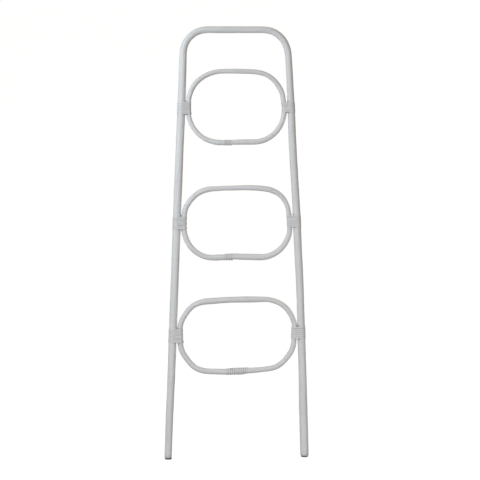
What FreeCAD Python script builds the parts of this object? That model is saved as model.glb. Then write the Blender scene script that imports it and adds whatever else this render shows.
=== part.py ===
import FreeCAD, Part
import math
import os
from FreeCAD import Vector, Placement, Rotation

# A leaning rattan ladder for hanging quilts and throws. One long cane pole is bent into a
# tall inverted U whose legs spread towards the floor. Three rings of thinner cane lie in the
# same plane between the legs, each lashed to both legs with rattan peel.
# Millimetres. X is to the right, Y to the back, Z up. The origin is on the floor, midway
# between the feet. The ladder is drawn upright in its own plane.

# Main sizes
height = 1500.0
pole_dia = 28.0
pole_r = pole_dia / 2
pad_thick = 5.0
pad_dia = 24.0
foot_left = -237.5
foot_right = 237.5

# Bends of the pole
bar_z = height - pole_r
bend_left = 82.0
bend_right = 87.0
lean_left = 2.13
lean_right = 3.45
bow_right = 36900.0

# Bindings of rattan peel
peel_width = 7.4
peel_thick = 1.4
peel_bevel = 0.8
peel_edge = 0.6
peel_clear = 0.3
fit_gap = 0.2

# Width of the saw cut of the scarf that closes each ring
scarf_kerf = 0.25

# Rings from the top down. "bends" are the centreline radii of the upper left, upper right,
# lower right and lower left bends. "wrap" is where the splice binding starts along the
# bottom run, "scarf" and "scarf_long" the middle and length of the scarf, "turns" the turns
# of the splice binding, and "shift" how far the lashings sit above the screwed joints.
rings = [
    {"name": "top", "z": 1219.0, "high": 248.5, "dia": 18.3, "tilt": 1.0,
     "bends": (119.0, 116.0, 114.0, 111.0), "left": 6, "right": 5, "shift": -4.7,
     "wrap": -46.0, "turns": 4, "scarf": -31.0, "scarf_long": 30.0},
    {"name": "middle", "z": 817.5, "high": 240.0, "dia": 20.0, "tilt": 0.9,
     "bends": (114.0, 104.0, 100.0, 100.0), "left": 6, "right": 6, "shift": 0.0,
     "wrap": -45.5, "turns": 4, "scarf": -30.5, "scarf_long": 30.0},
    {"name": "bottom", "z": 425.5, "high": 248.0, "dia": 21.0, "tilt": 1.2,
     "bends": (111.0, 108.0, 108.0, 103.0), "left": 7, "right": 6, "shift": 3.0,
     "wrap": -42.0, "turns": 10, "scarf": -5.0, "scarf_long": 44.0},
]

# Fasteners. "flare" is the part of the head height that is conical.
screw = {"head": 7.4, "head_high": 2.6, "dia": 3.8, "flare": 0.8}
tack = {"head": 2.6, "head_high": 0.5, "dia": 1.2, "flare": 0.0}
nail = {"head": 7.0, "head_high": 1.2, "dia": 2.4, "flare": 0.0}
screw_bite = 15.0
screw_sink = 0.9
tack_bite = 9.0
nail_bite = 18.0
nail_recess = 1.4
pin_dia = 1.4
pin_spread = 17.0
hole_clear = 0.15

Y_AXIS = Vector(0, 1, 0)

os.makedirs("parts", exist_ok=True)


def plane_point(x, z):
    return Vector(x, 0, z)


def save(shape, node):
    shape.exportStep("parts/" + node + ".step")


def sweep(wire, start, direction, radius):
    circle = Part.Wire(Part.makeCircle(radius, start, direction))
    return wire.makePipeShell([circle], True, False)


def revolved(profile):
    # Closed outline in radius and height, turned about Z
    points = [Vector(r, 0, z) for r, z in profile]
    face = Part.Face(Part.makePolygon(points + [points[0]]))
    return face.revolve(Vector(0, 0, 0), Vector(0, 0, 1), 360)


def aim(shape, origin, direction):
    # Put a shape drawn along +Z at a point, pointing along a direction
    placed = shape.copy()
    placed.Placement = Placement(origin, Rotation(Vector(0, 0, 1), direction))
    return placed


def fastener(kind, length):
    # Head top at zero, pointed end along +Z
    r = kind["dia"] / 2
    return revolved([
        (0, 0),
        (kind["head"] / 2, 0),
        (kind["head"] / 2, kind["head_high"] * (1 - kind["flare"])),
        (r, kind["head_high"]),
        (r, length - 2 * kind["dia"]),
        (0, length),
    ])


def fastener_hole(kind, length, open_up):
    # Drilled and sunk hole round a fastener, left open for a distance above its head
    r = kind["dia"] / 2 + hole_clear
    head_r = kind["head"] / 2 + hole_clear
    return revolved([
        (0, -open_up),
        (head_r, -open_up),
        (head_r, kind["head_high"] * (1 - kind["flare"]) + hole_clear),
        (r, kind["head_high"] + hole_clear),
        (r, length + hole_clear),
        (0, length + hole_clear),
    ])


# ---------------------------------------------------------------- outer pole
# Right leg: a very slow outward bow that hangs from the tighter bend at the top
a = math.radians(lean_right)
right_top_z = bar_z - bend_right + bend_right * math.sin(a)
a_foot = math.asin(math.sin(a) - right_top_z / bow_right)
right_top_x = foot_right - bow_right * (math.cos(a_foot) - math.cos(a))
right_centre = plane_point(right_top_x - bend_right * math.cos(a), bar_z - bend_right)
bow_centre = plane_point(right_top_x - bow_right * math.cos(a), right_top_z - bow_right * math.sin(a))


def lean_at(side, z):
    # Lean of a leg from the vertical, towards the middle as it rises
    if side < 0:
        return math.radians(lean_left)
    return math.asin((z - bow_centre.z) / bow_right)


def leg_x(side, z):
    # Centreline of a leg at a height
    if side < 0:
        return foot_left + z * math.tan(math.radians(lean_left))
    return bow_centre.x + bow_right * math.cos(lean_at(side, z))


def arc(centre, radius, angle_from, angle_to):
    pts = []
    for t in (0.0, 0.5, 1.0):
        ang = math.radians(angle_from + (angle_to - angle_from) * t)
        pts.append(centre + plane_point(radius * math.cos(ang), radius * math.sin(ang)))
    return Part.Arc(*pts).toShape()


b = math.radians(lean_left)
left_top_z = bar_z - bend_left + bend_left * math.sin(b)
left_top = plane_point(leg_x(-1, left_top_z), left_top_z)
left_centre = left_top + plane_point(bend_left * math.cos(b), -bend_left * math.sin(b))
sole = -20.0
left_sole = plane_point(leg_x(-1, sole), sole)
bow_end = math.degrees(lean_at(1, sole))
pole_path = Part.Wire([
    Part.makeLine(left_sole, left_top),
    arc(left_centre, bend_left, 180 - lean_left, 90),
    Part.makeLine(left_centre + plane_point(0, bend_left), right_centre + plane_point(0, bend_right)),
    arc(right_centre, bend_right, 90, lean_right),
    arc(bow_centre, bow_right, lean_right, bow_end),
])
leg_up = plane_point(math.sin(b), math.cos(b))
pole = sweep(pole_path, left_sole, leg_up, pole_r)
trim = Part.makeBox(700, 100, 100, Vector(-350, -50, pad_thick - 100))
pole = pole.cut(trim)


# ---------------------------------------------------------------- rings
def solve_ring(ring):
    # Half width and middle of a ring whose upper bends just reach both legs
    tilt = math.radians(ring["tilt"])
    reach = pole_r + ring["dia"] / 2 + fit_gap
    half = ring["high"] / 2
    rows = []
    for side, r in ((-1, ring["bends"][0]), (1, ring["bends"][1])):
        lean = lean_at(side, ring["z"])
        n = plane_point(side * math.cos(lean), math.sin(lean))
        d = n.dot(plane_point(leg_x(side, ring["z"]), ring["z"]))
        nx = n.x * math.cos(tilt) + n.z * math.sin(tilt)
        nz = -n.x * math.sin(tilt) + n.z * math.cos(tilt)
        # n.x * cx + nx * side * (w - r) + nz * (half - r) + r + reach = d - n.z * cz
        rows.append((n.x, nx * side, d - n.z * ring["z"] - nz * (half - r) - r - reach + nx * side * r))
    (a1, b1, c1), (a2, b2, c2) = rows
    det = a1 * b2 - a2 * b1
    ring["x"] = (c1 * b2 - c2 * b1) / det
    ring["half_w"] = (a1 * c2 - a2 * c1) / det
    ring["half_h"] = half


def ring_frame(ring):
    # Local X runs along the ring and local Z up, tilted in the plane of the ladder
    return Placement(plane_point(ring["x"], ring["z"]), Rotation(Y_AXIS, -ring["tilt"]))


def ring_path(ring):
    # Centreline, starting at the middle of the bottom run and going to the right
    w = ring["half_w"]
    h = ring["half_h"]
    ul, ur, lr, ll = ring["bends"]
    start = plane_point(0, -h)
    edges = [
        Part.makeLine(start, plane_point(w - lr, -h)),
        arc(plane_point(w - lr, -h + lr), lr, -90, 0),
        Part.makeLine(plane_point(w, -h + lr), plane_point(w, h - ur)),
        arc(plane_point(w - ur, h - ur), ur, 0, 90),
        Part.makeLine(plane_point(w - ur, h), plane_point(-w + ul, h)),
        arc(plane_point(-w + ul, h - ul), ul, 90, 180),
        Part.makeLine(plane_point(-w, h - ul), plane_point(-w, -h + ll)),
        arc(plane_point(-w + ll, -h + ll), ll, 180, 270),
        Part.makeLine(plane_point(-w + ll, -h), start),
    ]
    path = Part.Wire(edges)
    path.Placement = ring_frame(ring)
    return path


def ring_cane(ring):
    # One cane closed on itself, its tapered ends meeting on a slanted saw cut
    frame = ring_frame(ring)
    path = ring_path(ring)
    along = frame.Rotation.multVec(Vector(1, 0, 0))
    start = frame.multVec(plane_point(0, -ring["half_h"]))
    cane = sweep(path, start, along, ring["dia"] / 2)
    slope = math.degrees(math.atan2(ring["dia"], ring["scarf_long"]))
    length = math.hypot(ring["scarf_long"], ring["dia"]) + 6
    kerf = Part.makeBox(length, 60, scarf_kerf, Vector(-length / 2, -30, -scarf_kerf / 2))
    kerf.Placement = Placement(plane_point(ring["scarf"], -ring["half_h"]), Rotation(Y_AXIS, slope))
    kerf.Placement = frame.multiply(kerf.Placement)
    return cane.cut(kerf)


# ---------------------------------------------------------------- lashings
def racetrack(frame, reach, r_pole, r_cane, w):
    # Outline of a turn round a leg and a ring: two arcs joined by straight tangents.
    # Local X points from the leg to the ring, local Z up along the leg.
    lean = math.asin((r_pole - r_cane) / reach)
    c = math.cos(lean)
    s = math.sin(lean)
    p1 = Vector(r_pole * s, r_pole * c, w)
    p2 = Vector(r_pole * s, -r_pole * c, w)
    q1 = Vector(reach + r_cane * s, r_cane * c, w)
    q2 = Vector(reach + r_cane * s, -r_cane * c, w)
    edges = [
        Part.Arc(p1, Vector(-r_pole, 0, w), p2).toShape(),
        Part.makeLine(p2, q2),
        Part.Arc(q2, Vector(reach + r_cane, 0, w), q1).toShape(),
        Part.makeLine(q1, p1),
    ]
    wire = Part.Wire(edges)
    wire.Placement = frame
    return wire


def joint_frame(ring, side):
    # Frame of a lashed joint, on the axis of the leg beside the end of the ring
    z = ring["z"] + side * ring["half_w"] * math.sin(math.radians(ring["tilt"]))
    lean = lean_at(side, z)
    inward = plane_point(-side * math.cos(lean), -math.sin(lean))
    upward = plane_point(-side * math.sin(lean), math.cos(lean))
    turn = Rotation(inward, upward.cross(inward), upward, "ZXY")
    return Placement(plane_point(leg_x(side, z), z), turn)


def ring_reach(ring, frame, w):
    # Distance from the leg axis to the ring centreline, w up the leg from the joint
    ray = Part.makeLine(frame.multVec(Vector(0, 0, w)), frame.multVec(Vector(90, 0, w)))
    hit = ray.distToShape(ring["path"])[1][0][0]
    return hit.distanceToPoint(frame.multVec(Vector(0, 0, w)))


def lashing(ring, side, turns):
    frame = joint_frame(ring, side)
    r_cane = ring["dia"] / 2
    bottom = ring["shift"] - turns * peel_width / 2
    outer = []
    inner = []

    def outline(w, grow):
        return racetrack(frame, ring_reach(ring, frame, w), pole_r + grow, r_cane + grow, w)

    for k in range(turns):
        low = bottom + k * peel_width
        high = low + peel_width
        outer.append(outline(low, peel_clear + peel_edge))
        outer.append(outline(low + peel_bevel, peel_clear + peel_thick))
        outer.append(outline(high - peel_bevel, peel_clear + peel_thick))
        inner.append(outline(low, peel_clear))
    top = bottom + turns * peel_width
    outer.append(outline(top, peel_clear + peel_edge))
    inner.append(outline(top, peel_clear))
    band = Part.makeLoft(outer, True, True)
    return band.cut(Part.makeLoft(inner, True, True))


# ---------------------------------------------------------------- splice bindings
def splice_wrap(ring):
    # Turns of peel round the bottom run, drawn along Z and then laid along the cane
    r = ring["dia"] / 2 + peel_clear
    profile = [(r, 0)]
    for k in range(ring["turns"]):
        low = k * peel_width
        profile.append((r + peel_edge, low))
        profile.append((r + peel_thick, low + peel_bevel))
        profile.append((r + peel_thick, low + peel_width - peel_bevel))
    end = ring["turns"] * peel_width
    profile.append((r + peel_edge, end))
    profile.append((r, end))
    frame = ring_frame(ring)
    origin = frame.multVec(plane_point(ring["wrap"], -ring["half_h"]))
    along = frame.Rotation.multVec(Vector(1, 0, 0))
    return aim(revolved(profile), origin, along)


# ---------------------------------------------------------------- build
for ring in rings:
    solve_ring(ring)
    ring["path"] = ring_path(ring)
    ring["cane"] = ring_cane(ring)

tacks = []
tack_length = peel_thick + peel_clear + tack_bite
tack_body = fastener(tack, tack_length)
tack_hole = fastener_hole(tack, tack_length, 3.0)
for ring in rings:
    name = ring["name"]
    r_cane = ring["dia"] / 2
    frame = ring_frame(ring)

    # Splice: two pins down through the scarf, the binding, and the tack under its last turn
    wrap = splice_wrap(ring)
    down = frame.Rotation.multVec(Vector(0, 0, -1))
    pin_length = 1.6 * r_cane
    pins = []
    for shift in (-pin_spread / 2, pin_spread / 2):
        origin = frame.multVec(plane_point(ring["scarf"] + shift, -ring["half_h"] + pin_length / 2))
        pins.append(aim(Part.makeCylinder(pin_dia / 2, pin_length), origin, down))
        pin_hole = Part.makeCylinder(pin_dia / 2 + hole_clear, pin_length + 2 * hole_clear)
        ring["cane"] = ring["cane"].cut(aim(pin_hole, origin - down * hole_clear, down))
    save(Part.makeCompound(pins), name + "_splice_pins")

    last_turn = ring["wrap"] + (ring["turns"] - 0.5) * peel_width
    wrap_r = r_cane + peel_clear + peel_thick
    origin = frame.multVec(plane_point(last_turn, -ring["half_h"] - wrap_r))
    tacks.append(aim(tack_body, origin, -down))
    hole = aim(tack_hole, origin, -down)
    ring["cane"] = ring["cane"].cut(hole)
    save(wrap.cut(hole), name + "_splice_wrap")

    # Lashed joints: a countersunk screw from inside the ring into the leg, bound over,
    # and a tack through the lowest turn into the back of the leg
    for side, side_name in ((-1, "left"), (1, "right")):
        joint = joint_frame(ring, side)
        outward = joint.Rotation.multVec(Vector(-1, 0, 0))
        head_out = ring_reach(ring, joint, 0) + r_cane - screw_sink
        head_at = joint.multVec(Vector(head_out, 0, 0))
        length = head_out - pole_r + screw_bite
        save(aim(fastener(screw, length), head_at, outward), name + "_" + side_name + "_joint_screw")
        hole = aim(fastener_hole(screw, length, 4.0), head_at, outward)
        ring["cane"] = ring["cane"].cut(hole)
        pole = pole.cut(hole)

        turns = ring[side_name]
        low_turn = ring["shift"] + (1 - turns) * peel_width / 2
        forward = Vector(0, -1, 0)
        origin = joint.multVec(Vector(0, 0, low_turn)) - forward * (pole_r + peel_clear + peel_thick)
        tacks.append(aim(tack_body, origin, forward))
        hole = aim(tack_hole, origin, forward)
        pole = pole.cut(hole)
        save(lashing(ring, side, turns).cut(hole), name + "_" + side_name + "_lashing")

    save(ring["cane"], name + "_hoop")

save(Part.makeCompound(tacks), "binding_tacks")

# Feet: a rubber pad nailed to the sawn end of each leg
pad_high = pad_thick - fit_gap
pad_edge = 1.5
pad_profile = [
    (0, 0),
    (pad_dia / 2 - pad_edge, 0),
    (pad_dia / 2, pad_edge),
    (pad_dia / 2, pad_high),
    (0, pad_high),
]
nail_length = pad_thick - nail_recess + nail_bite
nail_body = fastener(nail, nail_length)
nail_hole = fastener_hole(nail, nail_length, nail_recess + 1)
up = Vector(0, 0, 1)
for side, side_name in ((-1, "left"), (1, "right")):
    foot = plane_point(leg_x(side, pad_thick), 0)
    head_at = foot + up * nail_recess
    hole = aim(nail_hole, head_at, up)
    pad = aim(revolved(pad_profile), foot, up)
    save(pad.cut(hole), side_name + "_foot_pad")
    save(aim(nail_body, head_at, up), side_name + "_foot_nail")
    pole = pole.cut(hole)

save(pole, "frame_pole")
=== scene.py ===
"""White painted rattan quilt ladder: the looks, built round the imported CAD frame."""

import math

import bpy
import numpy as np
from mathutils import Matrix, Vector
from mathutils.bvhtree import BVHTree


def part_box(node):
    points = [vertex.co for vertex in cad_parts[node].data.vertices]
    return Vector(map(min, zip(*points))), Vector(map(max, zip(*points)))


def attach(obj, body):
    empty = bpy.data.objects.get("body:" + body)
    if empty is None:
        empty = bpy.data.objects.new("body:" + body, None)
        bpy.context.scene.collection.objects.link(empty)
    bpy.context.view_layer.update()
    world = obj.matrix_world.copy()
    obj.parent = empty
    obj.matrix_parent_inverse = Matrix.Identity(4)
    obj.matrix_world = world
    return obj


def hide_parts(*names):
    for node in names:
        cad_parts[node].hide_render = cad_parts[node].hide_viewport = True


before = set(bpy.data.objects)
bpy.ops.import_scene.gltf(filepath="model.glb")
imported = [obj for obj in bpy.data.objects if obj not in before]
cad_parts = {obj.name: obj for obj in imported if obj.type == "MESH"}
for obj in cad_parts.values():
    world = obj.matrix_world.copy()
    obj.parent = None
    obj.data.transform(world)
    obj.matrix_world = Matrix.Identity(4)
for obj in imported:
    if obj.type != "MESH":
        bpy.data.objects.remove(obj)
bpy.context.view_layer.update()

MM = 0.001
BODY = "root"

# ---------------------------------------------------------------- driving values
# Thickness of the long cane in mm against height in mm: rattan is never the same all along.
LEFT_LEG = ((0, 25.2), (130, 25.2), (350, 27.2), (720, 27.4), (900, 28.2), (1100, 27.4),
            (1280, 27.8), (1335, 26.5), (1390, 25.5), (1418, 24.1), (1486, 23.5))
RIGHT_LEG = ((0, 28.8), (40, 30.0), (130, 29.2), (345, 27.7), (540, 25.8), (630, 27.0),
             (830, 27.2), (1134, 26.6), (1240, 25.0), (1330, 24.0), (1390, 23.3), (1486, 23.5))
BEND_START = 1330 * MM        # above this height the long cane bends into the top bar
PROBE = 5 * MM                # rays pass this far from the mid-plane, clear of the screw holes
# Slow bows of the legs: height, spread and size in mm, to the right where positive
BOWS = {"left": ((150, 160, -0.8), (800, 160, -1.0), (1380, 60, -0.6)),
        "right": ((320, 60, 0.6), (600, 85, 2.1), (1065, 75, -1.4), (1350, 60, 1.1))}
LONG_BENDS = (140, 42)        # directions, in degrees, in which its two bends lie
BEND_SPREAD = 0.16            # and the spread of their wrinkles, in radians
BAR_RISE = 1.5 * MM           # the top bar lies a little above the CAD line
BAR_TILT = 0.0155             # and rises to the right
BAR_EASE = (1400, 1475)       # heights in mm over which the cane comes into the bar
FOOT_EASE = 30 * MM           # length over which the cane is brought to its level foot

# The three hoops. Angles are measured round their middles, from -90 degrees at the bottom to
# 270, and lengths in mm:
#   dia           the cane's thickness by angle
#   push          its bulges: angle, spread, how far outwards
#   ribs          the bends whose inner skin wrinkled: angle, spread
#   lift, drop    how far the two lapped ends sit above and below the line of the hoop
#   swell         the extra thickness of the lower end
#   hump          the rise of the upper end beside the splice binding
#   waist         how much thinner the cane was shaved under the splice binding
#   turns, short  of the left and right lashing: turns of peel, and how far its last turn
#                 stays above the lower end of the CAD's lashing
#   splice_turns  turns of the splice binding
HOOPS = {
    "top": {"dia": ((-90, 19.8), (-80, 18.6), (-24, 18.4), (30, 17.8), (45, 16.4), (90, 16.8),
                    (115, 15.8), (138, 18.2), (165, 17.5), (207, 15.8), (232, 17.2),
                    (270, 16.8)),
            "push": ((-1, 4, 0.9), (9, 3.5, -2.2), (42, 8, 1.9), (66, 10, -1.1), (152, 8, 1.2),
                     (243, 8, -1.3), (294, 12, -1.8)),
            "ribs": ((24, 13), (137, 9)), "lift": 1.0, "drop": 0.9,
            "swell": 1.2, "hump": 0.0, "waist": 2.4,
            "turns": (6, 5), "short": (3.0, 4.6), "splice_turns": 5},
    "middle": {"dia": ((-90, 21.4), (-66, 21.5), (-56, 22.8), (-46, 20.6), (24, 16.5),
                       (45, 20.0), (60, 18.6), (90, 17.2), (118, 16.3), (142, 20.0),
                       (200, 18.6), (230, 18.8), (246, 21.3), (270, 21.4)),
               "push": ((-87, 7, 1.2), (-52, 9, 2.0), (-24, 6, -1.2), (30, 7, 2.2),
                        (53, 6, -2.4), (80, 10, 1.2), (123, 6, -1.5), (150, 9, 2.7),
                        (229, 9, 2.0), (165, 5, 3.0), (180, 5, 2.0), (11, 3, -2.0),
                        (-1, 4, 0.6), (187, 4, 1.2)),
               "ribs": ((156, 17), (-146, 8)), "lift": 1.9, "drop": 0.4,
               "swell": 0.0, "hump": 1.2, "waist": 2.7,
               "turns": (6, 6), "short": (2.6, 5.0), "splice_turns": 5},
    "bottom": {"dia": ((-90, 19.8), (-78, 20.8), (-66, 19.2), (-54, 17.9), (-36, 19.2),
                       (30, 18.5), (48, 17.0), (62, 20.0), (75, 22.0), (90, 20.4),
                       (120, 21.4), (132, 22.6), (144, 18.8), (200, 19.0), (228, 20.2),
                       (252, 20.6), (270, 19.8)),
               "push": ((-50, 7, -2.8), (-27, 7, -3.0), (-84, 8, 0.9), (28, 8, 2.6),
                        (55, 8, -0.8), (127, 7, -1.6), (147, 7, 3.0), (206, 7, -4.4),
                        (230, 8, -2.0), (168, 6, 2.0), (180, 5, 0.9), (10, 6, 3.2),
                        (-1, 5, -0.4)),
               "ribs": ((-31, 14), (141, 9)), "lift": 0.3, "drop": 1.3,
               "swell": 0.0, "hump": 0.0, "waist": -0.6,
               "turns": (7, 6), "short": (4.0, 3.2), "splice_turns": 10},
}
RIB_PITCH = 4.6 * MM          # of the wrinkles on the inside of a bend
RIB_LONG = 0.15 * MM          # their height on the long cane
RIB_HOOP = 0.22 * MM          # and on the hoops
FLAT_LONG = 0.35 * MM         # flattening of the long cane in its bends
FLAT_HOOP = 0.22 * MM
JOINTS_LONG = 0.34            # mean spacing of the leaf joints of the long cane
JOINTS_HOOP = 0.27
STEP_LONG = 2.0 * MM          # ring spacing of the long cane
STEP_HOOP = 1.1 * MM
AROUND_LONG = 52              # points in each ring of the long cane
AROUND_HOOP = 40
SKIN_SEED = 3                 # of the long cane's unevenness
LONG_SEED = 10                # of its wobble, leaf joints and wrinkles
HOOP_SEED = 100
BESIDE_LEG = 0.1              # a hoop further out than this lies beside a leg
HOOP_SIDE_RADIUS = 0.11       # of its bend there

LAP_LONGEST = 46 * MM         # the lapped ends are no longer than this
LAP_INSET = 1.5 * MM          # and end this far inside their binding
LAP_SLANT = 0.40              # rise of the slanted cut each way, as a share of the thickness
LAP_GAP = 0.1 * MM            # each cut end stays this far from the middle of the cut
LAP_RUN = 0.12                # the lapped ends lie within this much cane of the hoop's start
LAP_FADE = 6 * MM             # their binding eases from one cane to two over this length
LAP_CLEAR = 0.05              # cane this near the hoop's start is clear of the lashings
LAP_EASE = (30 * MM, 75 * MM) # run over which the two ends come back to the hoop's line

PEEL_THICK = 1.1 * MM         # split rattan skin of the bindings, pulled tight and painted over
# How the peel is wound, by the side of a lashing or the hoop of a splice: the share of each
# row that it fills, how many turns before the first row it starts and past the last row it
# ends, and how far its end stands off
WINDING = {"left": (0.95, 0.45, 0.035, 1.4 * MM), "right": (0.95, 0.45, -0.2, 0.0),
           "top": (0.84, 0.3, -0.3, 0.0), "middle": (0.84, 0.3, -0.3, 0.0),
           "bottom": (0.84, 0.3, 0.3, 1.6 * MM)}
LASHING_SEED = {"left": 500, "right": 505}
SPLICE_SEED = 600

NOOK_SHADE = 0.9               # shares of painted shade: in the nooks at the ends of a lashing
WRAPPED_SHADE = 0.5            # painted shade under the bindings
FOOT_DARKENING = 0.25              # and a share of darkening at the feet

# Outline of a tack in mm: radius, and depth from the top of its domed head
TACK = ((0.5, 0.0), (0.95, 0.07), (1.2, 0.22), (1.3, 0.40), (1.22, 0.55), (0.6, 0.58),
        (0.6, 3.6), (0.25, 5.0))
TACK_HEAD = 0.55              # height of the head in mm
TACK_SEAT = PEEL_THICK + 0.15 * MM    # height of the peel's face above the cane

# Degrees between faces above which an edge stays sharp
CANE_CREASE = 38
PEEL_CREASE = 60
TACK_CREASE = 40
PAD_CREASE = 50


# ---------------------------------------------------------------- small tools
def wander(seed, lengths, sizes):
    """A smooth seeded wobble along a line: a sum of waves with random phases."""
    rng = np.random.default_rng(seed)
    phases = rng.uniform(0, 2 * math.pi, len(lengths))

    def value(at):
        total = np.zeros_like(np.asarray(at, float))
        for length, size, phase in zip(lengths, sizes, phases):
            total = total + size * np.sin(2 * math.pi * at / length + phase)
        return total

    return value


def bell(at, middle, spread):
    """1 at the middle, fading to 0 on both sides."""
    return np.exp(-0.5 * ((at - middle) / spread) ** 2)


def ramp(at, start, end):
    """0 before start, 1 after end, eased between."""
    share = np.clip((at - start) / (end - start), 0, 1)
    return share * share * (3 - 2 * share)


def skin(rings):
    """Points and faces of a closed skin over rings of points, with a fan at each end."""
    count, around = rings.shape[:2]
    row = np.arange(count - 1)[:, None] * around
    col = np.arange(around)[None, :]
    after = (col + 1) % around
    quads = np.stack([row + col, row + after, row + around + after, row + around + col], -1)
    faces = quads.reshape(-1, 4).tolist()
    last = (count - 1) * around
    first_middle = count * around
    for j in range(around):
        faces.append([(j + 1) % around, j, first_middle])
        faces.append([last + j, last + (j + 1) % around, first_middle + 1])
    points = np.vstack([rings.reshape(-1, 3), rings[:1].mean(1), rings[-1:].mean(1)])
    return points, faces


def spread_over(values, rings_shape):
    """Per-ring-point values with the two end points of a skin added."""
    flat = values.reshape(rings_shape[0] * rings_shape[1], -1)
    ends = np.vstack([values[:1].mean(1).reshape(1, -1), values[-1:].mean(1).reshape(1, -1)])
    return np.vstack([flat, ends])


def inside_out(points, faces):
    """True if the faces of a closed skin look inwards."""
    triangles = [f[:3] for f in faces] + [(f[0], f[2], f[3]) for f in faces if len(f) == 4]
    a, b, c = points[np.array(triangles).T]
    return np.einsum("ij,ij->", a, np.cross(b, c)) < 0


def piece(name, points, faces, material, stands_for, grain=None, shade_and_dirt=None,
          crease=CANE_CREASE):
    """A mesh piece that rides on the ladder, stands for CAD nodes and has its finish."""
    if inside_out(points, faces):
        faces = [f[::-1] for f in faces]
    mesh = bpy.data.meshes.new(name)
    mesh.from_pydata(points.tolist(), [], faces)
    if grain is not None:
        layer = mesh.attributes.new("grain", "FLOAT_VECTOR", "POINT")
        layer.data.foreach_set("vector", grain.astype(np.float32).ravel())
    if shade_and_dirt is not None:
        layer = mesh.attributes.new("shade_and_dirt", "FLOAT", "POINT")
        layer.data.foreach_set("value", np.clip(shade_and_dirt, 0, 1).astype(np.float32).ravel())
    mesh.shade_smooth()
    mesh.set_sharp_from_angle(angle=math.radians(crease))
    mesh.materials.append(material)
    made = bpy.data.objects.new(name, mesh)
    bpy.context.scene.collection.objects.link(made)
    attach(made, BODY)
    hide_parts(*stands_for)
    return made


# ---------------------------------------------------------------- lines of the canes
def probe_tree(node):
    """A ray target made from a CAD node's mesh."""
    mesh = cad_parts[node].data
    corners = [v.co.copy() for v in mesh.vertices]
    return BVHTree.FromPolygons(corners, [tuple(p.vertices) for p in mesh.polygons])


def crossing(tree, start, direction, reach=0.36):
    """(x, z) of the middle of the cane that a ray in the ladder's plane crosses."""
    heading = Vector((direction[0], 0, direction[1])).normalized()
    middle = Vector((0, 0, 0))
    for y in (-PROBE, PROBE):
        near = Vector((start[0], y, start[1]))
        inner = tree.ray_cast(near, heading, reach)[0]
        outer = tree.ray_cast(near + heading * reach, -heading, reach)[0]
        middle += (inner + outer) / 4
    return middle.x, middle.z


def even(points, step, closed=False):
    """The same line with its points evenly spaced."""
    line = np.vstack([points, points[:1]]) if closed else np.array(points)
    run = np.concatenate([[0], np.cumsum(np.linalg.norm(np.diff(line, axis=0), axis=1))])
    count = int(round(run[-1] / step))
    at = np.linspace(0, run[-1], count + 1)
    if closed:
        at = at[:-1]
    return np.column_stack([np.interp(at, run, line[:, k]) for k in range(2)])


def eased(points, spread, closed=False):
    """The rows of points smoothed along the line; spread counts rows."""
    reach = int(3 * spread)
    weights = np.exp(-0.5 * (np.arange(-reach, reach + 1) / spread) ** 2)
    weights /= weights.sum()
    if closed:
        padded = np.vstack([points[-reach:], points, points[:reach]])
    else:
        before = 2 * points[0] - points[reach:0:-1]
        beyond = 2 * points[-1] - points[-2:-reach - 2:-1]
        padded = np.vstack([before, points, beyond])
    return np.column_stack([np.convolve(column, weights, "valid") for column in padded.T])


def long_cane_line():
    """Left foot, up over the top bar and down to the right foot."""
    tree = probe_tree("frame_pole")
    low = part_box("frame_pole")[0].z
    heights = np.arange(low + 3 * MM, BEND_START, 10 * MM)
    left = [crossing(tree, (0, z), (-1, 0)) for z in heights]
    right = [crossing(tree, (0, z), (1, 0)) for z in heights[::-1]]
    turn = [crossing(tree, (0, BEND_START), (math.cos(a), math.sin(a)))
            for a in np.radians(np.arange(180, -0.5, -1.5))]
    line = np.array(left + turn + right)

    def foot(near, far):
        return near + (near - far) * (near[1] - low) / (far[1] - near[1])

    line = np.vstack([foot(line[0], line[1]), line, foot(line[-1], line[-2])])
    return eased(even(line, STEP_LONG), 4)


def hoop_line(name):
    """Once round a hoop from the middle of its bottom run, turning by the right side."""
    node = f"{name}_hoop"
    tree = probe_tree(node)
    low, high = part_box(node)
    middle = ((low.x + high.x) / 2, (low.z + high.z) / 2)
    line = np.array([crossing(tree, middle, (math.cos(a), math.sin(a)), 0.3)
                     for a in np.radians(np.arange(-90, 270, 1.5))])
    line = eased(even(line, STEP_HOOP, True), 5, True)
    wrap_low, wrap_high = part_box(f"{name}_splice_wrap")
    splice_x = (wrap_low.x + wrap_high.x) / 2
    lower = np.where(line[:, 1] < middle[1], np.abs(line[:, 0] - splice_x), np.inf)
    return np.roll(line, -int(np.argmin(lower)), axis=0), middle


def heading_of(line, closed=False):
    """Unit direction along the line."""
    if closed:
        along = np.roll(line, -1, axis=0) - np.roll(line, 1, axis=0)
    else:
        along = np.gradient(line, axis=0)
    return along / np.linalg.norm(along, axis=1)[:, None]


# ---------------------------------------------------------------- canes
def skin_relief(seed, run, angle):
    """Small unevenness of a sanded cane: faint flats and flutes that drift along it."""
    relief = np.zeros(np.broadcast(run, angle).shape)
    for lobes, size in ((2, 0.12), (3, 0.07), (5, 0.05), (9, 0.035), (14, 0.025)):
        drift = wander(seed + lobes, (0.33, 0.11), (1.4, 0.5))(run)
        relief += size * MM * np.sin(lobes * angle + drift + lobes * seed)
    relief += wander(seed + 40, (0.21, 0.083, 0.031), (0.12, 0.09, 0.05))(run) * MM
    return relief


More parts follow.
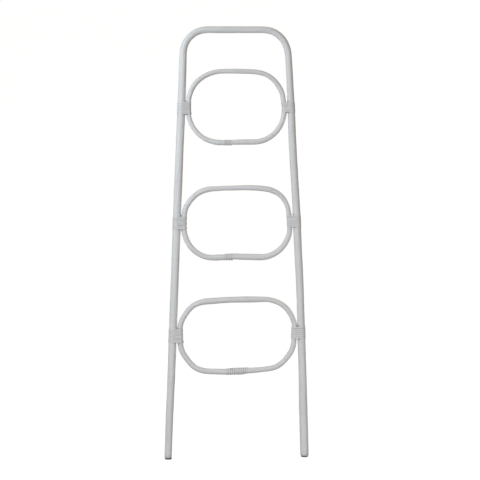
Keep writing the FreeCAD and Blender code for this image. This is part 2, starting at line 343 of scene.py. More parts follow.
def joints_in_cane(seed, run, length, spacing):
    """Height of the faint rings where leaves grew, sanded nearly flush, and their dirt."""
    rng = np.random.default_rng(seed)
    height = np.zeros_like(run)
    shade_and_dirt = np.zeros_like(run)
    at = spacing * rng.uniform(0.3, 0.9)
    while at < length:
        size = rng.uniform(0.6, 1.0)
        height += size * (0.34 * MM * bell(run, at, 5 * MM)
                          - 0.26 * MM * bell(run, at + 1.5 * MM, 0.9 * MM))
        shade_and_dirt += size * 0.1 * bell(run, at + 1.5 * MM, 1.2 * MM)
        at += spacing * rng.uniform(0.75, 1.3)
    return height, shade_and_dirt


def tube_rings(line, across, depth, radius, angle):
    """Rings of points round a line in the ladder's plane; an angle of 90 degrees faces
    forward. Also each point's place in the section of the cane."""
    side = radius * np.cos(angle)
    front = radius * np.sin(angle)
    rings = np.empty(radius.shape + (3,))
    rings[..., 0] = line[:, 0, None] + side * across[:, 0, None]
    rings[..., 1] = depth[:, None] - front
    rings[..., 2] = line[:, 1, None] + side * across[:, 1, None]
    return rings, np.stack([side, front], -1)


def end_caps(rings, shares):
    """The rings with smaller ones added in the plane of each end."""
    def inward(ring):
        middle = ring.mean(0)
        return [middle + (ring - middle) * share for share in shares]

    first = inward(rings[0])[::-1]
    return np.concatenate([np.array(first), rings, np.array(inward(rings[-1]))])


def crevice(rings, facing):
    """Painted shade under each lashing and in the nooks at its ends, on the side of the rings
    that looks outwards (facing 1) or inwards (facing -1)."""
    middle = rings.mean(1, keepdims=True)
    spoke = rings - middle
    outward = spoke[..., 0] * np.sign(middle[..., 0]) / np.linalg.norm(spoke, axis=-1)
    shade_and_dirt = np.zeros(rings.shape[:2])
    for name, facts in HOOPS.items():
        for side, sign, short in (("left", -1, facts["short"][0]),
                                  ("right", 1, facts["short"][1])):
            low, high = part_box(f"{name}_{side}_lashing")
            end = low.z + short * MM
            here = middle[..., 0] * sign > BESIDE_LEG
            towards = here * np.clip(outward * facing, 0, 1)
            z = rings[..., 2]
            shade_and_dirt += NOOK_SHADE * towards ** 3 * bell(z, high.z + 1.6 * MM, 2.0 * MM)
            shade_and_dirt += NOOK_SHADE * towards ** 1.3 * bell(z, end - 0.8 * MM, 1.4 * MM)
            shade_and_dirt += WRAPPED_SHADE * here * ramp(z, end, end + MM) \
                * (1 - ramp(z, high.z - 2 * MM, high.z - MM))
    return shade_and_dirt


def cane_piece(name, node, rings, spoke, run, shade_and_dirt, material):
    """The piece of a cane. The wood's own coordinates run along it and across its section."""
    along = np.broadcast_to(run[:, None, None], spoke.shape[:2] + (1,))
    grain = np.concatenate([along, spoke], -1)
    points, faces = skin(rings)
    piece(name, points, faces, material, [node],
          spread_over(grain, rings.shape), spread_over(shade_and_dirt[..., None], rings.shape))


def thickness(table, height):
    """Thickness at a height, from a table of both in mm."""
    return np.interp(height / MM, *zip(*table)) * MM


def long_cane(material):
    """The one long cane: two legs and the top bar. Returns the legs' lines for the joints."""
    line = long_cane_line()
    along = heading_of(line)
    across = np.column_stack([-along[:, 1], along[:, 0]])
    count = len(line)
    run = np.arange(count) * STEP_LONG
    length = run[-1]
    height = line[:, 1]
    on_left = line[:, 0] < 0
    dia = np.where(on_left, thickness(LEFT_LEG, height), thickness(RIGHT_LEG, height))
    dia = eased(dia[:, None], 10)[:, 0]
    line = line.copy()
    for side, there in (("left", on_left), ("right", ~on_left)):
        for middle, spread, size in BOWS[side]:
            line[:, 0] += there * size * MM * bell(height / MM, middle, spread)
    line[:, 1] += (BAR_RISE + BAR_TILT * line[:, 0]) * ramp(height / MM, *BAR_EASE)
    line += across * wander(LONG_SEED + 1, (0.47, 0.19), (0.32, 0.12))(run)[:, None] * MM
    depth = wander(LONG_SEED + 2, (0.9, 0.37), (0.5, 0.3))(run) * MM

    angle = np.linspace(0, 2 * math.pi, AROUND_LONG, endpoint=False)[None, :]
    rise, shade_and_dirt = joints_in_cane(LONG_SEED + 3, run, length, JOINTS_LONG)
    relief = skin_relief(SKIN_SEED, run[:, None], angle) + rise[:, None]
    # Wrinkles and a slight flattening where the steamed cane was bent
    direction = np.arctan2(height - BEND_START, line[:, 0])
    inner = np.clip(-np.cos(angle), 0, 1)
    ribs = np.cos(2 * math.pi * run / RIB_PITCH + wander(LONG_SEED + 4, (0.06,), (0.8,))(run))
    for corner in np.radians(LONG_BENDS):
        bent = bell(direction, corner, BEND_SPREAD)[:, None]
        relief = relief + bent * (0.12 + 0.5 * inner) * RIB_LONG * ribs[:, None]
        relief = relief - bent * FLAT_LONG * np.cos(2 * angle)
    radius = dia[:, None] / 2 + relief
    rings, spoke = tube_rings(line, across, depth, radius, angle)

    # Level sawn feet with a sanded rim
    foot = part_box("frame_pole")[0].z
    for end, sign in ((0, 1), (count - 1, -1)):
        shift = (foot - rings[end, :, 2]) / along[end, 1]
        fade = np.clip(1 - np.abs(run - run[end]) / FOOT_EASE, 0, 1)
        rings[..., 0] += fade[:, None] * shift * along[end, 0]
        rings[..., 2] += fade[:, None] * shift * along[end, 1]
        middle = rings[end].mean(0)
        for back, share in ((0, 0.90), (1, 0.985)):
            ring = end + sign * back
            centre = rings[ring].mean(0)
            rings[ring] = centre + (rings[ring] - centre) * share
        rings[end, :, 2] = middle[2]
    caps = (0.93, 0.6, 0.25)
    rings = end_caps(rings, caps)
    # Darker over the last few mm at each foot
    shade_and_dirt = shade_and_dirt + FOOT_DARKENING * bell(np.minimum(run, length - run), 0, 6 * MM)
    # Painted shade in the nooks beside the lashings and under them
    shade_and_dirt = np.pad(shade_and_dirt, len(caps), "edge")[:, None] + crevice(rings, -1)
    cane_piece("frame_pole_cane", "frame_pole", rings, end_caps(spoke, caps),
               np.pad(run, len(caps), "edge"), shade_and_dirt, material)

    legs = {}
    top = int(np.argmax(height))
    for side, part in (("left", slice(0, top)), ("right", slice(top, count))):
        order = np.argsort(line[part, 1])
        legs[side] = (line[part][order, 1], line[part][order, 0], dia[part][order] / 2)
    return legs


def splice_of(name):
    """Where the lapped ends of a hoop lie along x, from the CAD box of their binding."""
    low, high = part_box(f"{name}_splice_wrap")
    half = min(high.x - low.x, LAP_LONGEST) / 2 - LAP_INSET
    middle = (low.x + high.x) / 2
    return middle - half, middle + half


def coped(rings, legs):
    """The rings of a hoop hollowed where they lie against the legs."""
    rings = rings.copy()
    for side, sign in (("left", -1), ("right", 1)):
        leg_z, leg_x, leg_r = legs[side]
        z = rings[..., 2]
        room = (np.interp(z, leg_z, leg_r) + 0.4 * MM) ** 2 - rings[..., 1] ** 2
        limit = np.interp(z, leg_z, leg_x) * sign - np.sqrt(np.maximum(room, 0))
        against = (rings[..., 0] * sign > BESIDE_LEG) & (room > 0)
        held = sign * np.minimum(rings[..., 0] * sign, limit)
        rings[..., 0] = np.where(against, held, rings[..., 0])
    return rings


def hoop_cane(name, index, legs, material):
    """One hoop: a cane bent round until its tapered ends lap at the middle of the bottom."""
    facts = HOOPS[name]
    ring_line, middle = hoop_line(name)
    total = len(ring_line)
    lap_low, lap_high = splice_of(name)
    start_x = ring_line[0, 0]
    before = int(round((start_x - lap_low) / STEP_HOOP))
    after = int(round((lap_high - start_x) / STEP_HOOP))
    steps = np.arange(-before, total + after + 1)
    line = ring_line[steps % total].copy()
    along = heading_of(ring_line, True)[steps % total]
    across = np.column_stack([along[:, 1], -along[:, 0]])
    run = steps * STEP_HOOP
    loop = total * STEP_HOOP

    seed = HOOP_SEED + 20 * index
    direction = np.degrees(np.arctan2(line[:, 1] - middle[1], line[:, 0] - middle[0]))
    at_joint = bell(np.abs(np.abs(direction) - 90), 90, 14)
    sway = wander(seed, (loop / 2, loop / 5, loop / 9), (0.5, 0.3, 0.15))(run) * (1 - at_joint)
    round_about = np.mod(direction + 90, 360) - 90
    for where, spread, size in facts["push"]:
        apart = np.mod(direction - where + 180, 360) - 180
        sway = sway + size * bell(apart, 0, spread)
    line += across * sway[:, None] * MM
    depth = wander(seed + 1, (loop, loop / 3), (0.5, 0.3))(run) * MM

    # The end that comes from the right rides up over the end that comes from the left
    over = 1 - ramp(run, *LAP_EASE)
    under = ramp(run, loop - LAP_EASE[1], loop - LAP_EASE[0])
    hump = bell(run, 22 * MM, 13 * MM) * facts["hump"]
    line[:, 1] += (over * facts["lift"] + hump - under * facts["drop"]) * MM

    dia = np.interp(round_about, *zip(*facts["dia"]))
    dia = eased(dia[:, None], 12)[:, 0]
    dia = dia * (1 + wander(seed + 2, (0.4, 0.16), (0.006, 0.005))(run))
    dia = dia + facts["swell"] * under * (1 - ramp(run, loop, loop + 20 * MM) * 0.4)
    lapped = ramp(line[:, 0], lap_low - 7 * MM, lap_low) \
        * (1 - ramp(line[:, 0], lap_high, lap_high + 7 * MM)) * (line[:, 1] < middle[1])
    dia = dia - facts["waist"] * lapped
    angle = np.linspace(0, 2 * math.pi, AROUND_HOOP, endpoint=False)[None, :]
    rise, shade_and_dirt = joints_in_cane(seed + 3, run, loop, JOINTS_HOOP)
    relief = 0.8 * skin_relief(seed + 4, run[:, None], angle) + rise[:, None]
    inner = np.clip(-np.cos(angle), 0, 1)
    ribs = np.cos(2 * math.pi * run / RIB_PITCH + wander(seed + 5, (0.05,), (0.9,))(run))
    for where, spread in facts["ribs"]:
        bent = bell(direction, where, spread)[:, None]
        relief = relief + bent * (0.25 + 0.45 * inner) * RIB_HOOP * ribs[:, None]
        relief = relief - bent * FLAT_HOOP * np.cos(2 * angle)
        # Painted shade in the troughs of the wrinkles
        shade_and_dirt = shade_and_dirt + 0.08 * bent[:, 0] * np.clip(-ribs, 0, 1)
    radius = dia[:, None] / 2 * MM + relief
    rings, spoke = tube_rings(line, across, depth, radius, angle)

    # Both ends are cut on the slant and lie against each other
    share = (rings[..., 0] - lap_low) / (lap_high - lap_low)
    slant = np.interp(share, (0, 1), (1, -1)) * LAP_SLANT * dia.mean() * MM
    level = ring_line[0, 1] + slant
    inside = (share > -0.02) & (share < 1.02)
    upper = (run < LAP_RUN)[:, None] & inside
    lower = (run > loop - LAP_RUN)[:, None] & inside
    z = rings[..., 2]
    z = np.where(upper, np.maximum(z, level + LAP_GAP), z)
    rings[..., 2] = np.where(lower, np.minimum(z, level - LAP_GAP), z)
    caps = (0.8, 0.4)
    rings = end_caps(coped(rings, legs), caps)
    # Painted shade in the nooks beside the lashings and under them
    shade_and_dirt = np.pad(shade_and_dirt, len(caps), "edge")[:, None] + crevice(rings, 1)
    # Painted shade on the cane under the splice binding
    wrap_low, wrap_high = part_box(f"{name}_splice_wrap")
    shade_and_dirt += WRAPPED_SHADE * ramp(rings[..., 0], wrap_low.x, wrap_low.x + MM) \
        * (1 - ramp(rings[..., 0], wrap_high.x - MM, wrap_high.x)) \
        * (rings[..., 2] < middle[1])
    cane_piece(f"{name}_hoop_cane", f"{name}_hoop", rings, end_caps(spoke, caps),
               np.pad(run, len(caps), "edge") + index, shade_and_dirt, material)
    return {"line": line, "run": run, "loop": loop, "radius": dia / 2 * MM,
            "lap": (lap_low, lap_high)}


# ---------------------------------------------------------------- bindings
def belt(share, gap, radius_a, radius_b):
    """Point and outward normal on a belt round two discs, the second at a distance gap.
    Share 0 is the far side of the second disc, 0.5 the far side of the first."""
    spread = np.arccos(np.clip((radius_a - radius_b) / gap, -1, 1))
    flat = np.sqrt(np.maximum(gap ** 2 - (radius_a - radius_b) ** 2, 0))
    arc_b = radius_b * spread
    arc_a = radius_a * (math.pi - spread)
    half = arc_b + flat + arc_a
    turn = np.mod(share, 1.0)
    mirrored = turn > 0.5
    run = np.where(mirrored, 1 - turn, turn) * 2 * half
    on_b = run < arc_b
    on_flat = ~on_b & (run < arc_b + flat)
    angle = np.where(on_b, run / radius_b,
                     np.where(on_flat, spread, spread + (run - arc_b - flat) / radius_a))
    slide = np.where(on_flat, run - arc_b, 0)
    middle = np.where(on_b | on_flat, gap, 0)
    radius = np.where(on_b | on_flat, radius_b, radius_a)
    out, up = np.cos(angle), np.sin(angle)
    x = middle + radius * out - slide * up
    y = radius * up + slide * out
    sign = np.where(mirrored, -1, 1)
    return x, y * sign, out, up * sign, 2 * half


# Cross-section of a split peel: across from -1 to 1, height from 0 to 1
PEEL = ((-0.97, 0.0), (-1.0, 0.35), (-0.985, 0.62), (-0.94, 0.80), (-0.84, 0.91), (-0.58, 0.98),
        (-0.2, 1.0), (0.2, 1.0), (0.58, 0.98), (0.84, 0.91), (0.94, 0.80), (0.985, 0.62),
        (1.0, 0.35), (0.97, 0.0))


# A peel's start is tucked in, and its end may stand off, over these shares of a turn
TUCK_RUN = 0.12
TUCK_DEPTH = 0.9 * MM
FLICK_RUN = 0.055
STEPS_PER_TURN = 84


def binding(node, section, place, start, end, turns, wound, seed, material):
    """A peel wound side by side from start to end, round whatever section(t) describes at
    position t: the gap between two discs and their radii, for the belt round both.
    place(t, x, y) gives points in the frame, and wound names a row of WINDING."""
    cover, lead, tail, flick = WINDING[wound]
    rng = np.random.default_rng(seed)
    direction = 1 if end > start else -1
    pitch = abs(end - start) / turns
    width = pitch * cover
    first = start + direction * pitch / 2
    offsets = rng.uniform(-0.035, 0.035, turns) * pitch
    tilts = rng.uniform(-0.05, 0.05, turns) * pitch
    lifts = rng.uniform(0.0, 0.22, turns) * MM
    shares = np.arange(-lead, turns + tail, 1 / STEPS_PER_TURN)
    row = np.clip(np.floor(shares), 0, turns - 1).astype(int)
    inner = shares - row
    cross = ramp(inner, 0.52, 0.98) * (row < turns - 1)
    nxt = np.minimum(row + 1, turns - 1)
    sit = offsets[row] * (1 - cross) + offsets[nxt] * cross
    lean = tilts[row] * np.cos(2 * math.pi * inner) * (1 - cross)
    lean = lean + tilts[nxt] * cross
    centre = first + direction * ((row + cross) * pitch) + sit + lean
    loose = wander(seed + 1, (0.9, 0.37, 0.16), (0.05, 0.04, 0.03))(shares) * MM
    lift = lifts[row] * (1 - cross) + lifts[nxt] * cross + loose + 0.06 * MM
    wide = width * (1 + wander(seed + 2, (2.3, 0.7), (0.02, 0.015))(shares))
    thick = PEEL_THICK * (1 + wander(seed + 3, (1.7, 0.5), (0.06, 0.04))(shares))
    rise = np.maximum(shares - (shares[-1] - FLICK_RUN), 0) / FLICK_RUN
    lift = lift + flick * rise ** 2
    tuck = np.clip((shares - shares[0]) / TUCK_RUN, 0, 1)
    lift = lift - (1 - tuck) * TUCK_DEPTH
    crown = 1 + wander(seed + 4, (0.4,), (0.03,))(shares)

    across = np.array([p[0] for p in PEEL])[None, :]
    high = np.array([p[1] for p in PEEL])[None, :]
    t = centre[:, None] + across * wide[:, None] / 2
    gap, radius_a, radius_b = section(t)
    x, y, out, up, length = belt(np.broadcast_to(shares[:, None], t.shape), gap,
                                 radius_a, radius_b)
    height = lift[:, None] + high * (thick * crown)[:, None]
    rings = place(t, x + out * height, y + up * height)
    around = length[:, :1] * shares[:, None]
    grain = np.stack([np.broadcast_to(around, t.shape), across * wide[:, None] / 2,
                      high * thick[:, None] + seed * 0.01 * np.ones_like(t)], -1)
    # Painted shade: darker at the peel's edges, most towards the cane, and fully at its two
    # ends
    shade_and_dirt = np.broadcast_to(np.abs(across) ** 6 * (1 - 0.45 * high), t.shape).copy()
    shade_and_dirt[[0, -1]] = 1
    points, faces = skin(rings)
    piece(f"{node}_peel", points, faces, material, [node],
          spread_over(grain, t.shape), spread_over(shade_and_dirt[..., None], t.shape), PEEL_CREASE)


def lashing(name, side, hoop, legs, seed, material):
    """The peel that binds a hoop to a leg, wound from the top down. Returns the place and
    direction of its tack, in the last turn at the back of the leg."""
    sign = -1 if side == "left" else 1
    node = f"{name}_{side}_lashing"
    low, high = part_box(node)
    leg_z, leg_x, leg_r = legs[side]
    run, loop, line = hoop["run"], hoop["loop"], hoop["line"]
    near = (line[:, 0] * sign > BESIDE_LEG) & (run > LAP_CLEAR) & (run < loop - LAP_CLEAR)
    order = np.argsort(line[near, 1])
    hoop_x, hoop_z = line[near][order].T
    radius = hoop["radius"].mean()

    def section(z):
        gap = np.abs(np.interp(z, leg_z, leg_x) - np.interp(z, hoop_z, hoop_x))
        slope = np.abs(z - (low.z + high.z) / 2) / HOOP_SIDE_RADIUS
        return gap, np.interp(z, leg_z, leg_r), radius * np.sqrt(1 + slope ** 2)

    def place(z, x, y):
        return np.stack([np.interp(z, leg_z, leg_x) - sign * x, -y, z], -1)

    which = ("left", "right").index(side)
    turns = HOOPS[name]["turns"][which]
    end = low.z + HOOPS[name]["short"][which] * MM
    binding(node, section, place, high.z, end, turns, side, seed, material)
    z = end + (high.z - end) / turns / 2
    back = np.interp(z, leg_z, leg_r) + TACK_SEAT
    return np.array((np.interp(z, leg_z, leg_x), back, z)), np.array((0.0, 1.0, 0.0))


def splice_wrap(name, hoop, seed, material):
    """The narrow peel wound round the lapped ends of a hoop. Returns the place and direction
    of its tack, under the last turn."""
    node = f"{name}_splice_wrap"
    low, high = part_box(node)
    run, loop, line, radius = hoop["run"], hoop["loop"], hoop["line"], hoop["radius"]
    right = run < LAP_RUN
    left = run > loop - LAP_RUN
    over = (line[right, 0], line[right, 1], radius[right])
    under = (line[left, 0], line[left, 1], radius[left])
    lap_low, lap_high = hoop["lap"]

    def lapped(x):
        """Middle height of the lower end, and the section of both, at x."""
        (lower_z, lower_r), (upper_z, upper_r) = (
            [np.interp(x, end[0], end[k]) for k in (1, 2)] for end in (under, over))
        has_over = ramp(x, lap_low - LAP_FADE, lap_low + MM)
        has_under = 1 - ramp(x, lap_high - MM, lap_high + LAP_FADE)
        bottom = lower_z * has_under + upper_z * (1 - has_under)
        top = upper_z * has_over + lower_z * (1 - has_over)
        radius_low = lower_r * has_under + upper_r * (1 - has_under)
        radius_high = upper_r * has_over + lower_r * (1 - has_over)
        return bottom, (np.maximum(top - bottom, 0.01 * MM), radius_low, radius_high)

    def section(x):
        return lapped(x)[1]

    def place(x, out, side):
        return np.stack([x, -side, lapped(x)[0] + out], -1)

    turns = HOOPS[name]["splice_turns"]
    binding(node, section, place, low.x, high.x, turns, name, seed, material)
    x = high.x - (high.x - low.x) / turns / 2
    bottom, facts = lapped(x)
    return np.array((x, 0.0, bottom - facts[1] - TACK_SEAT)), np.array((0.0, 0.0, -1.0))


def tacks(places, material):
    """Tacks driven through the last turn of each binding."""
    turns = np.linspace(0, 2 * math.pi, 24, endpoint=False)[:, None]
    points, faces = [], []
    for seat, outward in places:
        side = np.array((1.0, 0.0, 0.0))
        spokes = np.cos(turns) * side + np.sin(turns) * np.cross(outward, side)
        rings = np.array([seat + outward * (TACK_HEAD - deep) * MM + spokes * radius * MM
                          for radius, deep in TACK])
        own_points, own_faces = skin(rings)
        start = len(points) * len(own_points)
        faces += [[start + corner for corner in face] for face in own_faces]
        points.append(own_points)
    piece("binding_tacks_painted", np.vstack(points), faces, material,
          ["binding_tacks"], crease=TACK_CREASE)


# ---------------------------------------------------------------- feet
def foot_pad(side, material):
    """A turned rubber pad with a rounded rim, a grip groove and the hole for its nail."""
    node = f"{side}_foot_pad"
    low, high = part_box(node)
    nail_low, nail_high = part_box(f"{side}_foot_nail")
    hole = (nail_high.x - nail_low.x) / 2 + 0.5 * MM
    radius = (high.x - low.x) / 2
    tall = high.z - low.z
    centre = ((low.x + high.x) / 2, (low.y + high.y) / 2, low.z)
    deep = nail_low.z - low.z + 0.3 * MM
    groove = 0.5 * MM
    rim = 0.9 * MM
    # The outline from the nail's hole, out under the pad, up its rim and in over its top
    profile = [(hole, deep), (hole, 0.25 * MM), (hole + 0.25 * MM, 0)]
    profile += [(radius * 0.56, 0), (radius * 0.59, groove), (radius * 0.66, groove),
                (radius * 0.69, 0)]
    for turn in np.radians(np.arange(-90, 1, 15)):
        profile.append((radius - rim + rim * math.cos(turn), rim + rim * math.sin(turn)))
    profile += [(radius - 0.12 * MM, tall * 0.5), (radius - 0.25 * MM, tall - 0.7 * MM),
                (radius - 0.7 * MM, tall - 0.1 * MM), (radius - 1.4 * MM, tall)]
    profile += [(radius * 0.5, tall)]
    turns = np.linspace(0, 2 * math.pi, 72, endpoint=False)
    rings = np.array([np.column_stack([r * np.cos(turns), r * np.sin(turns),
                                       np.full_like(turns, z)]) for r, z in profile]) + centre
    points, faces = skin(rings)
    piece(f"{side}_foot_pad_rubber", points, faces, material, [node],
          crease=PAD_CREASE)


# ---------------------------------------------------------------- materials
class Shader:
    """A node material being put together."""

    def __init__(self, name):
        self.material = bpy.data.materials.new(name)
        self.material.use_nodes = True
        self.nodes = self.material.node_tree.nodes
        self.links = self.material.node_tree.links
        self.nodes.clear()
        self.output = self.nodes.new("ShaderNodeOutputMaterial")
        self.surface = self.nodes.new("ShaderNodeBsdfPrincipled")
        self.links.new(self.surface.outputs[0], self.output.inputs["Surface"])

    def set(self, node, **sockets):
        for key, value in sockets.items():
            socket = node.inputs[key.replace("_", " ")]
            if isinstance(value, bpy.types.NodeSocket):
                self.links.new(value, socket)
            else:
                socket.default_value = value
        return node

    def attribute(self, name):
        node = self.nodes.new("ShaderNodeAttribute")
        node.attribute_name = name
        return node

    def stretched(self, vector, scale):
        node = self.nodes.new("ShaderNodeMapping")
        self.links.new(vector, node.inputs["Vector"])
        node.inputs["Scale"].default_value = scale
        return node.outputs[0]

    def noise(self, vector, scale=1.0, detail=4.0, roughness=0.55):
        node = self.nodes.new("ShaderNodeTexNoise")
        return self.set(node, Vector=vector, Scale=scale, Detail=detail,
                        Roughness=roughness).outputs[0]

    def cells(self, vector, scale=1.0):
        node = self.nodes.new("ShaderNodeTexVoronoi")
        return self.set(node, Vector=vector, Scale=scale).outputs["Distance"]

    def mapped(self, value, low, high, to_low=0.0, to_high=1.0):
        node = self.nodes.new("ShaderNodeMapRange")
        self.set(node, Value=value)
        for index, number in ((1, low), (2, high), (3, to_low), (4, to_high)):
            node.inputs[index].default_value = number
        return node.outputs[0]

    def math(self, operation, a, b):
        node = self.nodes.new("ShaderNodeMath")
        node.operation = operation
        for socket, value in zip(node.inputs, (a, b)):
            if isinstance(value, bpy.types.NodeSocket):
                self.links.new(value, socket)
            else:
                socket.default_value = value
        return node.outputs[0]

    def blend(self, share, a, b):
        node = self.nodes.new("ShaderNodeMix")
        node.data_type = "RGBA"
        for index, value in ((0, share), (6, a), (7, b)):
            if isinstance(value, bpy.types.NodeSocket):
                self.links.new(value, node.inputs[index])
            else:
                node.inputs[index].default_value = value
        return node.outputs[2]

    def bump(self, height, strength, distance, before=None):
        node = self.nodes.new("ShaderNodeBump")
        self.set(node, Height=height, Strength=strength, Distance=distance)
        if before is not None:
            self.links.new(before, node.inputs["Normal"])
        return node.outputs[0]


def paint_on_cane():
    """Satin white paint brushed over sanded rattan."""
    s = Shader("painted_cane")
    grain = s.attribute("grain").outputs["Vector"]
    shade_and_dirt = s.attribute("shade_and_dirt").outputs["Fac"]
    cloud = s.noise(s.stretched(grain, (11, 60, 60)), detail=3)
    fibre = s.noise(s.stretched(grain, (22, 900, 900)), detail=5, roughness=0.6)
    brush = s.noise(s.stretched(grain, (9, 420, 420)), detail=3)
    peel = s.noise(s.stretched(grain, (620, 620, 620)), detail=2)
    pores = s.cells(s.stretched(grain, (130, 1100, 1100)))
    pits = s.mapped(pores, 0.05, 0.22, 1, 0)
    rare = s.mapped(s.noise(s.stretched(grain, (34, 90, 90)), detail=2), 0.52, 0.66)
    pits = s.math("MULTIPLY", pits, rare)

    colour = s.blend(s.mapped(cloud, 0.35, 0.65), (0.770, 0.782, 0.790, 1),
                     (0.815, 0.822, 0.822, 1))
    colour = s.blend(s.mapped(fibre, 0.5, 0.78, 0, 0.35), colour, (0.70, 0.70, 0.68, 1))
    colour = s.blend(s.math("MULTIPLY", pits, 0.35), colour, (0.52, 0.49, 0.43, 1))
    # Darkened towards near black by the mesh attribute: painted shade in the nooks by the
    # lashings, under the bindings and in wrinkle troughs, plus darker leaf-joint rings and
    # darkening at the feet
    colour = s.blend(s.math("MULTIPLY", shade_and_dirt, 0.8), colour, (0.13, 0.125, 0.115, 1))
    rough = s.mapped(brush, 0.3, 0.7, 0.40, 0.54)
    rough = s.math("ADD", rough, s.math("MULTIPLY", pits, 0.2))
    normal = s.bump(fibre, 0.35, 0.00035)
    normal = s.bump(brush, 0.30, 0.0004, normal)
    normal = s.bump(peel, 0.12, 0.0002, normal)
    normal = s.bump(s.math("MULTIPLY", pits, -1.0), 0.5, 0.0003, normal)
    s.set(s.surface, Base_Color=colour, Roughness=rough, Normal=normal)
    s.surface.inputs["Specular IOR Level"].default_value = 0.42
    return s.material


def paint_on_peel():
    """The same paint on the smooth, slightly glossier skin of split rattan."""
    s = Shader("painted_peel")
    grain = s.attribute("grain").outputs["Vector"]
    shade_and_dirt = s.attribute("shade_and_dirt").outputs["Fac"]
    cloud = s.noise(s.stretched(grain, (40, 120, 120)), detail=3)
    fibre = s.noise(s.stretched(grain, (45, 1900, 300)), detail=4, roughness=0.6)
    lump = s.noise(s.stretched(grain, (240, 420, 420)), detail=3)
    colour = s.blend(s.mapped(cloud, 0.35, 0.65), (0.762, 0.772, 0.778, 1),
                     (0.808, 0.812, 0.812, 1))
    colour = s.blend(s.mapped(fibre, 0.52, 0.75, 0, 0.4), colour, (0.66, 0.65, 0.62, 1))
    # Painted shade along the edges of each turn of peel and at its ends
    colour = s.blend(s.math("MULTIPLY", shade_and_dirt, 0.5), colour, (0.30, 0.29, 0.27, 1))
    rough = s.mapped(lump, 0.3, 0.7, 0.36, 0.50)
    normal = s.bump(fibre, 0.45, 0.0003)
    normal = s.bump(lump, 0.30, 0.0004, normal)
    s.set(s.surface, Base_Color=colour, Roughness=rough, Normal=normal)
    s.surface.inputs["Specular IOR Level"].default_value = 0.45
    return s.material


def bright_steel():
    """Zinc-plated fasteners with drawn marks and a little dulling."""
    s = Shader("steel")
    place = s.nodes.new("ShaderNodeTexCoord").outputs["Object"]
    drawn = s.noise(s.stretched(place, (2600, 2600, 260)), detail=4)
    dull = s.noise(s.stretched(place, (420, 420, 420)), detail=3)
    colour = s.blend(s.mapped(dull, 0.35, 0.65), (0.46, 0.45, 0.43, 1), (0.62, 0.62, 0.61, 1))
    rough = s.mapped(dull, 0.3, 0.7, 0.28, 0.5)
    s.set(s.surface, Base_Color=colour, Roughness=rough, Normal=s.bump(drawn, 0.2, 0.0001))
    s.surface.inputs["Metallic"].default_value = 1.0
    return s.material


def painted_steel():
    """Tack heads painted over with the binding, rubbed thin here and there."""
    s = Shader("painted_tack")
    place = s.nodes.new("ShaderNodeTexCoord").outputs["Object"]
    lump = s.noise(s.stretched(place, (900, 900, 900)), detail=3)
    worn = s.mapped(s.noise(s.stretched(place, (1500, 1500, 1500)), detail=4), 0.60, 0.70)
    colour = s.blend(worn, (0.74, 0.75, 0.75, 1), (0.33, 0.32, 0.30, 1))
    rough = s.mapped(lump, 0.3, 0.7, 0.34, 0.52)
    s.set(s.surface, Base_Color=colour, Roughness=rough, Normal=s.bump(lump, 0.4, 0.0003))
    return s.material


def grey_rubber():
    """Moulded dark grey rubber, scuffed and dusty on its rim."""
    s = Shader("rubber")
    place = s.nodes.new("ShaderNodeTexCoord").outputs["Object"]
    grain = s.noise(s.stretched(place, (1800, 1800, 1800)), detail=4)
    dust = s.noise(s.stretched(place, (260, 260, 500)), detail=4)
    colour = s.blend(s.mapped(dust, 0.42, 0.68), (0.085, 0.085, 0.087, 1),
                     (0.180, 0.176, 0.170, 1))
    rough = s.mapped(dust, 0.3, 0.7, 0.55, 0.8)
    s.set(s.surface, Base_Color=colour, Roughness=rough, Normal=s.bump(grain, 0.3, 0.0002))
    return s.material


# ---------------------------------------------------------------- the ladder
cane_paint = paint_on_cane()
peel_paint = paint_on_peel()
rubber = grey_rubber()
steel = bright_steel()
tack_paint = painted_steel()

legs = long_cane(cane_paint)
tack_places = []
for index, name in enumerate(("top", "middle", "bottom")):
    hoop = hoop_cane(name, index, legs, cane_paint)
    for side in ("left", "right"):
        tack_places.append(lashing(name, side, hoop, legs, LASHING_SEED[side] + 10 * index,
                                   peel_paint))
    tack_places.append(splice_wrap(name, hoop, SPLICE_SEED + 10 * index, peel_paint))
tacks(tack_places, tack_paint)
for side in ("left", "right"):
    foot_pad(side, rubber)

# The nodes that no piece has replaced: screws, pins and nails
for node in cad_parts.values():
    if node.hide_render:
        continue
    node.data.materials.clear()
    node.data.materials.append(steel)

# ---------------------------------------------------------------- floor, light, camera
STAGE_RADIUS = 30.0           # of the backdrop
FLOOR_RADIUS = 14.0           # of the floor that lies flat
STAGE_RISE = 16.0             # height of the backdrop's widest part


def stage_paper():
    """White paper lit so strongly that only a trace of shadow stays on it."""
    material = bpy.data.materials.new("paper")
    material.use_nodes = True
    nodes = material.node_tree.nodes
    links = material.node_tree.links
    nodes.clear()
    output = nodes.new("ShaderNodeOutputMaterial")
    glow = nodes.new("ShaderNodeEmission")
    glow.inputs["Strength"].default_value = 0.96
    matt = nodes.new("ShaderNodeBsdfDiffuse")
    matt.inputs["Color"].default_value = (0.12, 0.12, 0.12, 1)
    both = nodes.new("ShaderNodeAddShader")
    links.new(glow.outputs[0], both.inputs[0])
    links.new(matt.outputs[0], both.inputs[1])
    links.new(both.outputs[0], output.inputs["Surface"])
    return material


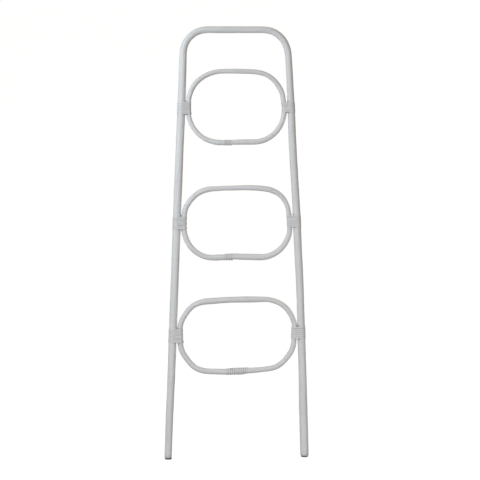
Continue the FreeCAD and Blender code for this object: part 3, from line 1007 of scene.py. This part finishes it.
def stage_bowl():
    """A floor that curves up into a backdrop all round, seen by the camera only."""
    profile = [(0.01, 0.0), (3.0, 0.0), (8.0, 0.0), (FLOOR_RADIUS, 0.0)]
    for turn in np.radians(np.arange(-80, 91, 10)):
        profile.append((FLOOR_RADIUS + (STAGE_RADIUS - FLOOR_RADIUS) * math.cos(turn),
                        STAGE_RISE + STAGE_RISE * math.sin(turn)))
    points, faces = [], []
    around = 64
    for r, z in profile:
        for turn in np.linspace(0, 2 * math.pi, around, endpoint=False):
            points.append((r * math.cos(turn), r * math.sin(turn), z))
    for i in range(len(profile) - 1):
        for j in range(around):
            k = (j + 1) % around
            faces.append((i * around + j, i * around + k, (i + 1) * around + k,
                          (i + 1) * around + j))
    faces.append(tuple(range(around)))
    mesh = bpy.data.meshes.new("stage_bowl")
    mesh.from_pydata(points, [], faces)
    mesh.shade_smooth()
    mesh.materials.append(stage_paper())
    bowl = bpy.data.objects.new("stage_bowl", mesh)
    bpy.context.scene.collection.objects.link(bowl)
    bowl.visible_diffuse = False
    bowl.visible_glossy = False
    bowl.visible_shadow = False


def soft_light(name, place, aim, size, power, colour):
    """A square softbox that looks at a point of the ladder."""
    lamp = bpy.data.lights.new(name, "AREA")
    lamp.shape = "SQUARE"
    lamp.size = size
    lamp.energy = power
    lamp.color = colour
    made = bpy.data.objects.new(name, lamp)
    made.location = place
    made.rotation_euler = (Vector(aim) - Vector(place)).to_track_quat("-Z", "Y").to_euler()
    bpy.context.scene.collection.objects.link(made)


def surroundings(colour, middle, more_above, dark_right):
    """Even studio light, a little stronger from above and weak from the far right."""
    world = bpy.data.worlds.new("studio")
    world.use_nodes = True
    nodes = world.node_tree.nodes
    links = world.node_tree.links
    nodes.clear()
    output = nodes.new("ShaderNodeOutputWorld")
    back = nodes.new("ShaderNodeBackground")
    back.inputs["Color"].default_value = colour
    split = nodes.new("ShaderNodeSeparateXYZ")
    links.new(nodes.new("ShaderNodeTexCoord").outputs["Generated"], split.inputs[0])
    both = nodes.new("ShaderNodeMath")
    both.operation = "ADD"
    for index, (axis, start, low, high) in enumerate((
            ("Z", -1.0, middle - more_above, middle + more_above),
            ("X", 0.2, 0.0, -dark_right))):
        turn = nodes.new("ShaderNodeMapRange")
        for socket, number in ((1, start), (2, 1.0), (3, low), (4, high)):
            turn.inputs[socket].default_value = number
        links.new(split.outputs[axis], turn.inputs[0])
        links.new(turn.outputs[0], both.inputs[index])
    links.new(both.outputs[0], back.inputs["Strength"])
    links.new(back.outputs[0], output.inputs["Surface"])
    bpy.context.scene.world = world


stage_bowl()
surroundings(colour=(0.89, 0.827, 0.684, 1), middle=0.445, more_above=0.14, dark_right=0.29)
# Name, place, the point it looks at, size in metres, power in watts, colour
soft_light("key_light", (-1.15, -0.95, 1.7), (0, 0, 1.3), 0.6, 11.4, (0.756, 0.852, 1.0))
soft_light("right_fill", (1.0, -1.3, 0.1), (0, 0, 0.1), 1.0, 5.4, (0.89, 0.87, 1.0))
soft_light("left_fill", (-0.9, -1.6, 0.3), (0, 0, 0.2), 1.0, 6.6, (0.745, 0.85, 1.0))
soft_light("back_fill", (0.0, 3.0, 0.45), (0, 0, 0.75), 1.4, 17.0, (0.75, 0.85, 1.0))

CAMERA_YAW = math.radians(5.0)
CAMERA_REACH = 4.0
CAMERA_HEIGHT = 0.82
camera_data = bpy.data.cameras.new("camera")
camera_data.sensor_width = 36.0
camera_data.lens = 86.35
camera_data.shift_x = 0.00685
camera_data.shift_y = -0.038
camera_data.clip_start = 0.1
camera_data.clip_end = 200.0
camera = bpy.data.objects.new("camera", camera_data)
camera.location = (-CAMERA_REACH * math.sin(CAMERA_YAW),
                   -CAMERA_REACH * math.cos(CAMERA_YAW), CAMERA_HEIGHT)
camera.rotation_euler = (math.radians(90), 0, -CAMERA_YAW)
bpy.context.scene.collection.objects.link(camera)
bpy.context.scene.camera = camera
bpy.context.scene.view_settings.view_transform = "Standard"
